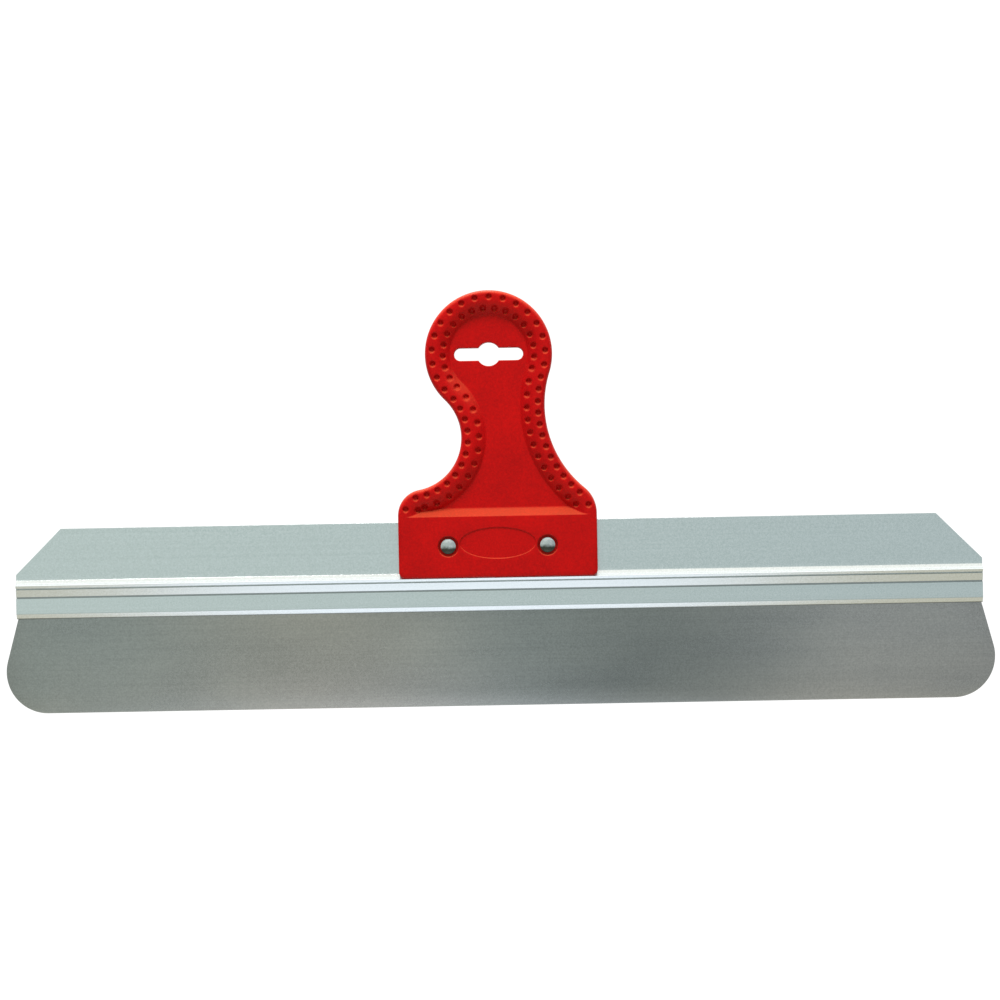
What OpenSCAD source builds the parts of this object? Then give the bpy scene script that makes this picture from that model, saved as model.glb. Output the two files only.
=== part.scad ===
// Wide filling knife: a stainless blade crimped into an aluminium rail, with a
// moulded handle riveted over the rail's flange.
// X runs along the blade, Z goes up from the working edge, Y through the thickness.
// The origin is the middle of the working edge, and -Y is the front.

/* [Blade] */
// Overall width of the blade
blade_w = 500; // [400:10:600]
// Thickness of the blade's sheet
blade_t = 0.5; // [0.3:0.1:0.5]
// Height of blade that shows below the rail
blade_reach = 48; // [40:1:60]
// Depth of blade held inside the rail's jaw
blade_tuck = 9.5; // [8:0.5:9.5]
// Radius of the two working corners
blade_corner_r = 21; // [12:1:24]
// Lean of the blade's ends from upright, in degrees
blade_end_lean = 15; // [5:1:18]

/* [Rail] */
// Length of blade left bare past each end of the rail's jaw
rail_margin = 6; // [4:1:12]
// Height of the rail from jaw to flange top
rail_h = 45.4; // [43:0.1:48]
// Thickness across the jaw
jaw_t = 4.8; // [4.4:0.1:5]
// Thickness of the flange inside the handle
flange_t = 2.5; // [2:0.1:2.5]
// Radius of the bead under the handle
bead_r = 0.95; // [0.8:0.05:1]
// Size of the 45 degree cut at each end of the flange
flange_cut = 23; // [10:1:25]
// Number of crimps that hold the blade
crimp_count = 7; // [5:1:9]
// Diameter of one crimp
crimp_d = 3; // [2.5:0.1:3.5]

/* [Handle] */
// Width of the handle's base
base_w = 100; // [94:1:110]
// Gap between the rail's bead and the underside of the handle
base_gap = 0.2; // [0:0.1:2]
// Thickness of the handle
handle_t = 17; // [16:0.5:20]
// Thickness of the flat web inside the rim
web_t = 7; // [6:0.5:9]
// Height of the knob's centre above the handle's lower edge
knob_rise = 112.2; // [108:0.2:120]
// Sideways offset of the knob's centre
knob_x = -3; // [-4:0.5:-2]
// Radius of the knob
knob_r = 32; // [31:0.5:34]
// Radius of the waist on the left
waist_left_r = 26.5; // [25:0.5:28]
// Direction from the knob's centre to the left waist's centre, in degrees
waist_left_dir = 225.5; // [224:0.5:228]
// Radius of the waist on the right
waist_right_r = 54; // [50:1:56]
// Direction from the knob's centre to the right waist's centre, in degrees
waist_right_dir = -18; // [-20:0.5:-16]
// Radius of the left shoulder
shoulder_left_r = 13; // [12.5:0.5:15]
// Radius of the right shoulder
shoulder_right_r = 16.5; // [13:0.5:18]
// Width of the raised rim
rim_w = 12.4; // [10:0.2:12.4]
// Rounding of the outer edges
edge_r = 2.4; // [1.5:0.1:3]

/* [Hanging slot] */
// Length of the hanging slot
hang_w = 34.8; // [30:0.2:36]
// Height of the hanging slot
hang_h = 6.4; // [5:0.2:8]
// Diameter of the slot's round middle
hang_eye_d = 12; // [10:0.5:14]

/* [Badge] */
// Width of the blank oval badge
badge_w = 38.6; // [30:0.2:39]
// Height of the blank oval badge
badge_h = 16; // [10:0.5:18]
// Depth of the badge's recess
badge_deep = 0.3; // [0.2:0.1:0.6]
// How far the badge's middle sits above the rivets
badge_rise = 1.5; // [0:0.1:2]

/* [Rivets] */
// Distance between the two rivets
rivet_pitch = 50; // [50:1:60]
// Height of the rivets above the handle's lower edge
rivet_rise = 15.7; // [14:0.1:18]
// Shank diameter
shank_d = 4; // [3.8:0.1:4]
// Head diameter
head_d = 7.6; // [7:0.1:8]
// Head height
head_h = 1.6; // [1.4:0.1:2.4]
// Diameter of the rolled tail
tail_d = 6.8; // [6:0.1:7]
// Height of the rolled tail
tail_h = 1.2; // [1:0.1:1.6]
// Washer outer diameter
washer_d = 9.5; // [9:0.1:9.8]
// Washer thickness
washer_t = 0.8; // [0.6:0.1:0.8]
// Counterbore diameter
bore_d = 10.2; // [10:0.1:11]
// Depth of the counterbore below the handle's face
bore_deep = 2.6; // [2.6:0.1:3]

/* [Hidden] */
$fn = 96;
over = 1;
red = [0.73, 0.09, 0.10];
aluminium = [0.71, 0.76, 0.75];
steel = [0.50, 0.53, 0.51];
bright_steel = [0.85, 0.86, 0.87];

// blade
blade_half = blade_w / 2;
blade_top = blade_reach + blade_tuck;
corner_x = blade_half - blade_corner_r;
lean_start = [corner_x + blade_corner_r * cos(blade_end_lean),
              blade_corner_r * (1 + sin(blade_end_lean))];
lean_end = [lean_start.x - (blade_top - lean_start.y) * tan(blade_end_lean), blade_top];

// rail: heights in its section are measured from the lower end of the jaw
rail_l = blade_w - 2 * rail_margin;
rail_z = blade_reach;
flange_half = flange_t / 2;
jaw_half = jaw_t / 2;
slot_half = blade_t / 2 + 0.05;
slot_deep = blade_tuck + 0.5;
jaw_bevel = [1.3, 2.3];
groove_z = [10.35, 11.1];
groove_half = 1.7;
band_low_half = 2.1;
ridge_half = 3;
band_top_z = 14.9;
bead_z = 16.35;
slope_low = [2.9, 17.5];
slope_high = [1.65, 19.4];
crimp_z = rail_z + 5;
crimp_pitch = rail_l / crimp_count;
crimp_clear = 0.2;
pit_d = 4;
pit_deep = 0.8;

// handle: its outline is a chain of arcs, each tangent to the next
lip_z = rail_z + bead_z + bead_r;
base_half = base_w / 2;
handle_half = handle_t / 2;
web_half = web_t / 2;
base_z = lip_z + base_gap;
base_top_z = lip_z + 30.7;
base_bevel_h = 3.8;
mouth_half = 3.5;
mouth_h = 2.9;
flange_gap = 0.05;
flange_slot_z = rail_z + rail_h + 0.2;
base_corner_r = 3;
ledge = [rim_w - 0.9, handle_half - 2.9];
rim_slope = atan((handle_half - ledge.y) / (ledge.x - edge_r));
web_inset = rim_w / 2;
lap_angle = 0.2;
lap = 0.1;
lap_slim = 0.02;
crest_dip = 0.05;
knob = [knob_x, lip_z + knob_rise];
waist_left = knob + (knob_r + waist_left_r) * heading(waist_left_dir);
waist_right = knob + (knob_r + waist_right_r) * heading(waist_right_dir);
shoulder_left = shoulder(-1, shoulder_left_r, waist_left, waist_left_r);
shoulder_right = shoulder(1, shoulder_right_r, waist_right, waist_right_r);

// rivets
rivet_z = lip_z + rivet_rise;
floor_half = handle_half - bore_deep;
head_sphere_r = (head_d * head_d / 4 + head_h * head_h) / (2 * head_h);
rivet_hole_d = shank_d + 0.2;
washer_hole_d = shank_d + 0.2;
flange_hole_d = shank_d + 0.3;

function heading(angle) = [cos(angle), sin(angle)];
function bearing(from, to) = atan2(to.y - from.y, to.x - from.x);

// centre of a shoulder arc that touches the base's side and the waist's arc
function shoulder(side, radius, waist, waist_r) =
    let (x = side * (base_half - radius))
    [x, waist.y - sqrt(pow(waist_r + radius, 2) - pow(x - waist.x, 2))];

// a list of points followed by its mirror image, which closes a symmetric outline
function doubled(points, flip) =
    concat(points, [for (i = [len(points) - 1 : -1 : 0])
        [points[i].x * flip.x, points[i].y * flip.y]]);

// stands a drawing of the front view up, so that its Z points to the front
module stand() {
    rotate([90, 0, 0]) children();
}

// a plate drawn in the front view, centred on the XZ plane
module plate(thickness) {
    stand() linear_extrude(thickness, center = true) children();
}

// a bar of the given length along X, drawn as its section in Y and Z
module bar(length) {
    translate([-length / 2, 0, 0]) rotate([90, 0, 90]) linear_extrude(length) children();
}

module each_crimp() {
    for (i = [0 : crimp_count - 1])
        translate([(i - (crimp_count - 1) / 2) * crimp_pitch, crimp_z]) children();
}

module each_rivet() {
    for (side = [-1, 1])
        translate([side * rivet_pitch / 2, rivet_z]) children();
}

module blade() {
    color(steel) plate(blade_t) difference() {
        union() {
            polygon(doubled([[corner_x, 0], lean_start, lean_end], [-1, 1]));
            for (side = [-1, 1])
                translate([side * corner_x, blade_corner_r]) circle(blade_corner_r);
        }
        each_crimp() circle(d = crimp_d + crimp_clear);
    }
}

// the extrusion's section, with heights from the lower end of the jaw
module rail_section() {
    polygon(doubled([[slot_half, slot_deep], [slot_half, 0], [jaw_half - jaw_bevel.x, 0],
        [jaw_half, jaw_bevel.y], [jaw_half, groove_z[0]], [groove_half, groove_z[0]],
        [groove_half, groove_z[1]], [band_low_half, groove_z[1]], [ridge_half, band_top_z],
        [ridge_half, bead_z], slope_low, slope_high, [flange_half, slope_high.y],
        [flange_half, rail_h]], [-1, 1]));
    for (side = [-1, 1])
        translate([side * ridge_half, bead_z]) circle(bead_r);
}

// what the saw takes off the flange's ends, drawn in the front view
module flange_end_cut() {
    for (side = [-1, 1])
        translate([side * rail_l / 2, rail_z + rail_h - flange_cut]) rotate(-45 * side)
            translate([-flange_cut * 2, 0]) square([flange_cut * 4, flange_cut * 2]);
}

module rail() {
    color(aluminium) {
        difference() {
            translate([0, 0, rail_z]) bar(rail_l) rail_section();
            plate(2 * jaw_t) flange_end_cut();
            plate(2 * jaw_t) each_rivet() circle(d = flange_hole_d);
            stand() each_crimp() translate([0, 0, -jaw_half - over])
                cylinder(h = pit_deep + over, d = pit_d);
        }
        plate(2 * slot_half) each_crimp() circle(d = crimp_d);
    }
}

// the handle's outline moved inwards: a polygon through the arcs' centres, less the
// two waists, with the knob, the shoulders and the base added
module outline(inset) {
    side = base_half - inset;
    difference() {
        polygon([shoulder_right, waist_right, knob, waist_left, shoulder_left]);
        translate(waist_left) circle(waist_left_r + inset);
        translate(waist_right) circle(waist_right_r + inset);
    }
    translate(knob) circle(knob_r - inset);
    translate(shoulder_left) circle(shoulder_left_r - inset);
    translate(shoulder_right) circle(shoulder_right_r - inset);
    polygon([[-side, base_z], [side, base_z], [side, shoulder_right.y], shoulder_right,
             shoulder_left, [-side, shoulder_left.y]]);
}

// the rim's section, with x measured inwards from the outline and every face set in by slim
module rim_section(slim) {
    flat = handle_half - edge_r;
    crest = (edge_r - slim - crest_dip) * [sin(rim_slope), cos(rim_slope)];
    polygon(doubled([[rim_w - slim, web_half - over], ledge - [slim, slim],
                     [edge_r, flat] + crest, [edge_r, flat], [slim, flat]], [1, -1]));
    for (side = [-1, 1])
        translate([edge_r, side * flat]) circle(edge_r - slim);
}

// the rim round a bulge of the outline, between two directions
module rim_bulge(centre, radius, from, to) {
    translate(centre) rotate(from) rotate_extrude(angle = to - from)
        translate([radius, 0]) rotate(180) rim_section(0);
}

// the rim round a waist, a hair slimmer and longer so that both ends lie inside the bulges
module rim_waist(centre, radius, from, to) {
    translate(centre) rotate(from - lap_angle) rotate_extrude(angle = to - from + 2 * lap_angle)
        translate([radius, 0]) rim_section(lap_slim);
}

// the rim up one side of the base, slimmer like a waist
module rim_side(top, side) {
    translate([side * base_half, top.y + lap, 0]) rotate([90, 0, 0])
        linear_extrude(top.y + lap - base_z) rotate(side > 0 ? 180 : 0) rim_section(lap_slim);
}

module rim() {
    rim_bulge(knob, knob_r, waist_right_dir, waist_left_dir);
    rim_bulge(shoulder_left, shoulder_left_r, bearing(shoulder_left, waist_left), 180);
    rim_bulge(shoulder_right, shoulder_right_r, 0, bearing(shoulder_right, waist_right));
    rim_waist(waist_left, waist_left_r, bearing(waist_left, shoulder_left),
              waist_left_dir - 180);
    rim_waist(waist_right, waist_right_r, waist_right_dir + 180,
              bearing(waist_right, shoulder_right) + 360);
    rim_side(shoulder_left, -1);
    rim_side(shoulder_right, 1);
}

// the thick base, with a bevel down to the web
module base_section() {
    polygon(doubled([[handle_half, base_z], [handle_half, base_top_z],
                     [web_half, base_top_z + base_bevel_h]], [-1, 1]));
}

// the slot that takes the flange, with a flared mouth over the rail's ridge
module flange_slot_section() {
    polygon(doubled([[mouth_half, base_z - over], [mouth_half, base_z],
                     [flange_half + flange_gap, lip_z + mouth_h],
                     [flange_half + flange_gap, flange_slot_z]], [-1, 1]));
}

module hanging_slot() {
    end_x = (hang_w - hang_h) / 2;
    translate(knob) {
        square([2 * end_x, hang_h], center = true);
        circle(d = hang_eye_d);
        for (side = [-1, 1])
            translate([side * end_x, 0]) circle(d = hang_h);
    }
}

// what rounds off the two lower corners, drawn in the front view
module base_corner_cut() {
    for (side = [-1, 1])
        translate([side * (base_half - base_corner_r), base_z + base_corner_r]) difference() {
            rotate(side > 0 ? -90 : 180) square(base_corner_r + over);
            circle(base_corner_r);
        }
}

module badge() {
    translate([0, rivet_z + badge_rise])
        polygon([for (a = [0 : 5 : 355]) [badge_w / 2 * cos(a), badge_h / 2 * sin(a)]]);
}

module handle() {
    color(red) difference() {
        union() {
            stand() rim();
            plate(web_t) outline(web_inset);
            bar(base_w - 2 * edge_r) base_section();
        }
        bar(base_w + 2 * over) flange_slot_section();
        plate(2 * handle_t) hanging_slot();
        plate(2 * handle_t) base_corner_cut();
        plate(2 * handle_t) each_rivet() circle(d = rivet_hole_d);
        for (side = [-1, 1])
            stand() translate([0, 0, side * (handle_half + over / 2)])
                linear_extrude(2 * bore_deep + over, center = true) each_rivet() circle(d = bore_d);
        stand() translate([0, 0, handle_half - badge_deep]) linear_extrude(badge_deep + over) badge();
    }
}

// one rivet, with its domed head at the front and its rolled tail at the back
module rivet(side) {
    tail_z = floor_half + washer_t;
    color(bright_steel) translate([side * rivet_pitch / 2, 0, rivet_z]) stand() {
        translate([0, 0, floor_half]) intersection() {
            translate([0, 0, head_h - head_sphere_r]) sphere(head_sphere_r);
            cylinder(h = head_h + over, r = head_sphere_r + over);
        }
        translate([0, 0, -tail_z - tail_h / 2])
            cylinder(h = tail_z + tail_h / 2 + floor_half, d = shank_d);
        mirror([0, 0, 1]) translate([0, 0, tail_z]) rotate_extrude() polygon([[0, 0], [tail_d / 2, 0],
            [tail_d / 2, tail_h / 2], [tail_d / 2 - tail_h / 2, tail_h], [tail_d / 5, tail_h],
            [tail_d / 8, tail_h / 2], [0, tail_h / 2]]);
    }
}

// the washer under one rivet's tail
module rivet_washer(side) {
    color(bright_steel) translate([side * rivet_pitch / 2, floor_half + washer_t, rivet_z]) stand()
        linear_extrude(washer_t) difference() {
            circle(d = washer_d);
            circle(d = washer_hole_d);
        }
}

blade();
rail();
handle();
rivet(-1);  // rivet_left
rivet(1);  // rivet_right
rivet_washer(-1);  // rivet_washer_left
rivet_washer(1);  // rivet_washer_right
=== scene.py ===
"""Wide filling knife: the looks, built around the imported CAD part.

X runs along the blade, Z goes up from the working edge and -Y is the front. Shapes are
worked out in millimetres and turned into metres when their meshes are made.
"""

import math

import bmesh
import bpy
import numpy as np
from mathutils import Matrix, Vector
from mathutils.geometry import delaunay_2d_cdt


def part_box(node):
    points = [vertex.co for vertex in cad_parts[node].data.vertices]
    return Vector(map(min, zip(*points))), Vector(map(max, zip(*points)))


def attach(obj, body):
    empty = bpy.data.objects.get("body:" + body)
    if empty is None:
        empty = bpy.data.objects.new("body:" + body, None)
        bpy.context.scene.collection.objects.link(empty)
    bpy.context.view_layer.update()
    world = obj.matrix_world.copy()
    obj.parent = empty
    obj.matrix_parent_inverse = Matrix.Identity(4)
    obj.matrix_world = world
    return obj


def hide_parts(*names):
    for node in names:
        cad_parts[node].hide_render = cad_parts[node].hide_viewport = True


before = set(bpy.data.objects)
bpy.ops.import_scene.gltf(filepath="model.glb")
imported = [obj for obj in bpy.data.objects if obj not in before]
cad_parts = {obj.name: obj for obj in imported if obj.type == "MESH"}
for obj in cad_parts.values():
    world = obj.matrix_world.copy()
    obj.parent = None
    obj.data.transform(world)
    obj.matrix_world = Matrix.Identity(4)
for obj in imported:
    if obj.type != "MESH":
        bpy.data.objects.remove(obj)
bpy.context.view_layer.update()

MM = 0.001
WELD = 2e-6
BODY = "root"


def box_mm(node):
    """A node's lowest and highest corners in millimetres."""
    low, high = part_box(node)
    return np.array(low) / MM, np.array(high) / MM


blade_high = box_mm("blade")[1]
rail_low, rail_high = box_mm("rail")
handle_low, handle_high = box_mm("handle")
rivet_low, rivet_high = box_mm("rivet_right")
washer_low, washer_high = box_mm("rivet_washer_right")

# ---------------------------------------------------------------- sizes in millimetres

# handle: LIP_Z is the top of the rail's bead, a hair below the base
BASE_GAP = 0.2
BASE_Z = handle_low[2]
LIP_Z = BASE_Z - BASE_GAP
BASE_HALF = handle_high[0]
HANDLE_HALF = handle_high[1]
WEB_HALF = 3.5
KNOB = np.array([-3.0, LIP_Z + 112.2])
KNOB_R = 32.0
WAIST_LEFT_R = 26.5
WAIST_LEFT_DIR = 225.5
WAIST_RIGHT_R = 54.0
WAIST_RIGHT_DIR = -18.0
SHOULDER_LEFT_R = 13.0
SHOULDER_RIGHT_R = 16.5
CORNER_R = 3.0

# the rim's section, and the radius of the outer rounding from the base's foot to the knob
CREST_AT = 2.6
RIM_W = 12.4
RIM_FILLET = 0.4
RIM_POWER = 2.3
EDGE_R = 2.4
FOOT_EDGE_R = 0.4
BASE_EDGE_R = 1.2
EDGE_GROWS = (92.0, 104.0)

# top of the base, its bevel, and the half width and depth of the parting line round the side
BASE_TOP_Z = LIP_Z + 30.7
BASE_BEVEL_H = 3.8
BASE_EDGE_SOFT = 0.3
BASE_FOOT_SOFT = 0.9
PARTING = (0.22, 0.1)

# dimples in the rim
DIMPLE_R = 1.9
DIMPLE_FLAT_R = 0.65
DIMPLE_DEEP = 1.7
DIMPLE_ROWS = (3.45, 9.0)
DIMPLE_MIDDLE = 6.3
DIMPLE_START = 2.2
DIMPLE_STEPS = ((2, 5.5), (30, 6.46), (10, 6.06))
DIMPLE_RINGS = (0.0, 0.45, 0.75, 0.95, 1.1, 1.25, 1.4, 1.55, 1.7, 1.9)
DIMPLE_SIDES = 20

# hanging slot, badge and rivet recesses
SLOT_W = 34.8
SLOT_H = 6.4
SLOT_EYE_R = 6.0
SLOT_FILLET = 0.5
BADGE_HALF = (19.3, 8.0)
BADGE_DEEP = 0.5
BADGE_RISE = 1.5
BADGE_WALL = 0.5
BADGE_WALL_OUTSIDE = 0.05
RIVET_X = (rivet_low[0] + rivet_high[0]) / 2
RIVET_Z = (rivet_low[2] + rivet_high[2]) / 2
BORE_R = 5.1
BORE_LIP = 0.6
BORE_FLOOR = HANDLE_HALF - 2.6
HOLE_R = 2.1
MOUTH_HALF = 3.5
MOUTH_H = 2.9
FLANGE_SLOT_HALF = 1.3
FLANGE_SLOT_TOP = rail_high[2] + 0.2

# mesh steps: the face's mesh reaches out to FACE_END of the outer rounding's radius
OUTLINE_STEP = 0.8
ROUND_STEPS = 7
GRID_STEP = 0.4
COARSE_STEP = 3.0
FACE_END = 0.6
BORE_SIDES = 48
HOLE_CLEAR = 0.35
RIM_INSETS = (1.9, 2.3, 2.6, 3.1, 3.8, 4.6, 5.4, 6.2, 7.0, 7.8, 8.6, 9.4, 10.2, 10.9, 11.4, 11.8,
              12.05, 12.25, 12.45, 12.7, 13.1)
BASE_INSET = 2.0
BADGE_INSETS = (-0.15, -0.05, 0.06, 0.17, 0.28, 0.4, 0.5)
BEVEL_ZONE = (BASE_TOP_Z - 0.5, BASE_TOP_Z + BASE_BEVEL_H + 1.6)


# ---------------------------------------------------------------- the handle's outline


def heading(angle):
    return np.array([math.cos(math.radians(angle)), math.sin(math.radians(angle))])


def bearing(start, end):
    return math.degrees(math.atan2(end[1] - start[1], end[0] - start[0]))


def shoulder(side, radius, waist, waist_r):
    """Centre of a shoulder arc that touches the base's side and the waist's arc."""
    x = side * (BASE_HALF - radius)
    return np.array([x, waist[1] - math.sqrt((waist_r + radius) ** 2 - (x - waist[0]) ** 2)])


class Arc:
    """A piece of the outline; it bulges outwards where its angle grows, else it is a waist."""

    def __init__(self, centre, radius, start, end):
        self.centre = np.array(centre, float)
        self.radius = radius
        self.start = start
        self.end = end
        self.bulge = 1 if end > start else -1
        self.length = radius * math.radians(abs(end - start))

    def at(self, share, inset):
        angle = self.start + share * (self.end - self.start)
        return self.centre + (self.radius - self.bulge * inset) * heading(angle)

    def nearest(self, points):
        away = points - self.centre
        reach = np.hypot(away[:, 0], away[:, 1])
        low = min(self.start, self.end)
        turn = (np.degrees(np.arctan2(away[:, 1], away[:, 0])) - low) % 360
        span = abs(self.end - self.start)
        inside = (turn <= span + 0.01) | (turn >= 359.99)
        height = self.centre[1] + self.radius * away[:, 1] / np.maximum(reach, 1e-9)
        return np.where(inside, np.abs(reach - self.radius), np.inf), height


class Line:
    """A straight piece of the outline, with the handle on its left."""

    def __init__(self, start, end):
        self.start = np.array(start, float)
        self.run = np.array(end, float) - self.start
        self.length = float(np.hypot(*self.run))
        self.inward = np.array([-self.run[1], self.run[0]]) / self.length

    def at(self, share, inset):
        return self.start + share * self.run + inset * self.inward

    def nearest(self, points):
        away = points - self.start
        share = away @ self.run / self.length**2
        inside = (share >= -1e-6) & (share <= 1 + 1e-6)
        height = self.start[1] + share * self.run[1]
        return np.where(inside, np.abs(away @ self.inward), np.inf), height


waist_left = KNOB + (KNOB_R + WAIST_LEFT_R) * heading(WAIST_LEFT_DIR)
waist_right = KNOB + (KNOB_R + WAIST_RIGHT_R) * heading(WAIST_RIGHT_DIR)
shoulder_left = shoulder(-1, SHOULDER_LEFT_R, waist_left, WAIST_LEFT_R)
shoulder_right = shoulder(1, SHOULDER_RIGHT_R, waist_right, WAIST_RIGHT_R)

corner_x = BASE_HALF - CORNER_R
corner_z = BASE_Z + CORNER_R
rim_arcs = [
    Arc(shoulder_right, SHOULDER_RIGHT_R, 0, bearing(shoulder_right, waist_right)),
    Arc(waist_right, WAIST_RIGHT_R, bearing(waist_right, shoulder_right) + 360,
        WAIST_RIGHT_DIR + 180),
    Arc(KNOB, KNOB_R, WAIST_RIGHT_DIR, WAIST_LEFT_DIR),
    Arc(waist_left, WAIST_LEFT_R, WAIST_LEFT_DIR - 180, bearing(waist_left, shoulder_left)),
    Arc(shoulder_left, SHOULDER_LEFT_R, bearing(shoulder_left, waist_left), 180),
]
outline = [
    Line((-corner_x, BASE_Z), (corner_x, BASE_Z)),
    Arc((corner_x, corner_z), CORNER_R, -90, 0),
    Line((BASE_HALF, corner_z), (BASE_HALF, shoulder_right[1])),
    *rim_arcs,
    Line((-BASE_HALF, shoulder_left[1]), (-BASE_HALF, corner_z)),
    Arc((-corner_x, corner_z), CORNER_R, 180, 270),
]


def to_outline(points):
    """Distance from each point to the outline, and the height of the nearest point on it."""
    found = [piece.nearest(points) for piece in outline]
    distances = np.array([f[0] for f in found])
    heights = np.array([f[1] for f in found])
    best = distances.argmin(axis=0)
    rows = np.arange(len(points))
    return distances[best, rows], heights[best, rows]


def stations():
    """Places along the whole outline, as pairs of a piece and a share of its length."""
    places = []
    for piece in outline:
        step = OUTLINE_STEP if piece.length > 5 else OUTLINE_STEP / 2
        count = max(4, round(piece.length / step))
        places += [(piece, k / count) for k in range(count)]
    return places


def edge_radius(height):
    """Radius of the outer rounding: small on the base, smallest under it, larger up the rim."""
    share = np.clip((height - EDGE_GROWS[0]) / (EDGE_GROWS[1] - EDGE_GROWS[0]), 0, 1)
    low = np.interp(height, (BASE_Z, BASE_Z + CORNER_R), (FOOT_EDGE_R, BASE_EDGE_R))
    return low + (EDGE_R - BASE_EDGE_R) * share * share * (3 - 2 * share)


def dimple_centres():
    """Two staggered rows, spaced along the middle of the rim from its left end."""
    lengths = [(a.radius - a.bulge * DIMPLE_MIDDLE) * math.radians(abs(a.end - a.start))
               for a in rim_arcs]
    outer = [DIMPLE_START]
    for count, pitch in DIMPLE_STEPS:
        outer += [outer[-1] + pitch * (k + 1) for k in range(count)]
    between = [(near + far) / 2 for near, far in zip(outer, outer[1:])]
    centres = []
    for inset, row in zip(DIMPLE_ROWS, (outer, between)):
        for from_left in row:
            along = sum(lengths) - from_left
            for piece, length in zip(rim_arcs, lengths):
                if along <= length:
                    centres.append(piece.at(along / length, inset))
                    break
                along -= length
    return np.array(centres)


dimples = dimple_centres()


# ---------------------------------------------------------------- the handle's height


def to_nearest(points, others):
    """Distance from each point to the nearest of the others."""
    return np.hypot(points[:, None, 0] - others[None, :, 0],
                    points[:, None, 1] - others[None, :, 1]).min(axis=1)


def smooth_max(a, b, soft):
    """The larger of two heights, blended where they differ by less than soft."""
    lap = np.clip(soft - np.abs(a - b), 0, None) / soft
    return np.maximum(a, b) + lap * lap * soft / 4


def smooth_min(a, b, soft):
    return -smooth_max(-a, -b, soft)


def handle_height(points, with_badge):
    """Half thickness of the handle over each point of the front view."""
    distance, outline_z = to_outline(points)
    radius = edge_radius(outline_z)
    short = np.clip(radius - distance, 0, None)
    rounding = HANDLE_HALF - radius + np.sqrt(np.clip(radius**2 - short**2, 0, None))
    depth = HANDLE_HALF - WEB_HALF
    down = np.clip((distance - CREST_AT) / (RIM_W - CREST_AT), 0, None)
    rim = WEB_HALF + depth * (1 - down**RIM_POWER)
    bevel = HANDLE_HALF - (points[:, 1] - BASE_TOP_Z) * depth / BASE_BEVEL_H
    base = smooth_min(bevel, np.full(len(points), HANDLE_HALF), BASE_EDGE_SOFT)
    low = smooth_max(base, np.full(len(points), WEB_HALF), BASE_FOOT_SOFT)
    height = np.minimum(smooth_max(rim, low, RIM_FILLET), HANDLE_HALF)
    height = np.minimum(height, rounding)
    away = to_nearest(points, dimples)
    bowl = np.clip((DIMPLE_R - away) / (DIMPLE_R - DIMPLE_FLAT_R), 0, 1)
    height = height - DIMPLE_DEEP * bowl * bowl * (3 - 2 * bowl)
    if with_badge:
        a, b = BADGE_HALF
        x = points[:, 0]
        z = points[:, 1] - RIVET_Z - BADGE_RISE
        reach = np.hypot(x / a, z / b)
        gap = (1 - reach) * np.hypot(x, z) / np.maximum(reach, 1e-6)
        share = np.clip((gap + BADGE_WALL_OUTSIDE) / BADGE_WALL, 0, 1)
        height = height - BADGE_DEEP * share * share * (3 - 2 * share)
    return height


# ---------------------------------------------------------------- mesh tools


class Shell:
    """Collects points in millimetres and faces, and turns them into one welded mesh."""

    def __init__(self):
        self.points = []
        self.faces = []

    def add(self, points, faces):
        start = len(self.points)
        self.points += [tuple(p) for p in points]
        self.faces += [tuple(start + i for i in face) for face in faces]

    def strip(self, rows):
        """Quads between neighbouring closed rows, which all have the same number of points."""
        count = len(rows[0])
        faces = []
        for r in range(len(rows) - 1):
            for k in range(count):
                near = r * count
                far = near + count
                after = (k + 1) % count
                faces.append((near + k, near + after, far + after, far + k))
        self.add([p for row in rows for p in row], faces)

    def build(self, name):
        mesh = bpy.data.meshes.new(name)
        mesh.from_pydata([Vector(p) * MM for p in self.points], [], self.faces)
        work = bmesh.new()
        work.from_mesh(mesh)
        bmesh.ops.remove_doubles(work, verts=work.verts, dist=WELD)
        bmesh.ops.recalc_face_normals(work, faces=work.faces)
        work.to_mesh(mesh)
        work.free()
        piece = bpy.data.objects.new(name, mesh)
        bpy.context.scene.collection.objects.link(piece)
        return piece


def inside(points, loop):
    """Which points lie inside a closed loop."""
    x, z = points[:, 0], points[:, 1]
    result = np.zeros(len(points), bool)
    for (x0, z0), (x1, z1) in zip(loop, np.roll(loop, -1, axis=0)):
        if z0 == z1:
            continue
        crosses = (z0 > z) != (z1 > z)
        result ^= crosses & (x < (x1 - x0) * (z - z0) / (z1 - z0) + x0)
    return result


def circle(centre, radius, count):
    return np.array([centre + radius * heading(360 * k / count) for k in range(count)])


def lifted(flat, height, side):
    """Front-view points raised to a height on the front (side -1) or the back (side 1)."""
    heights = np.broadcast_to(height, len(flat))
    return [(x, side * h, z) for (x, z), h in zip(flat, heights)]


def boolean(piece, cutter, operation):
    change = piece.modifiers.new(operation.lower(), "BOOLEAN")
    change.operation = operation
    change.object = cutter
    change.solver = "MANIFOLD"
    bpy.context.view_layer.update()
    shaped = piece.evaluated_get(bpy.context.evaluated_depsgraph_get())
    mesh = bpy.data.meshes.new_from_object(shaped)
    piece.modifiers.clear()
    old = piece.data
    name = old.name
    piece.data = mesh
    bpy.data.meshes.remove(old)
    mesh.name = name
    bpy.data.objects.remove(cutter)


def smooth(piece, angle):
    mesh = piece.data
    mesh.polygons.foreach_set("use_smooth", [True] * len(mesh.polygons))
    mesh.set_sharp_from_angle(angle=math.radians(angle))
    mesh.update()


def prism(name, section, x0, x1):
    """A bar along X with a closed section of (y, z) points."""
    shell = Shell()
    rows = [[(x, y, z) for y, z in section] for x in (x0, x1)]
    shell.strip(rows)
    for row in rows:
        shell.add(row, [tuple(range(len(row)))])
    return shell.build(name)


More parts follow.
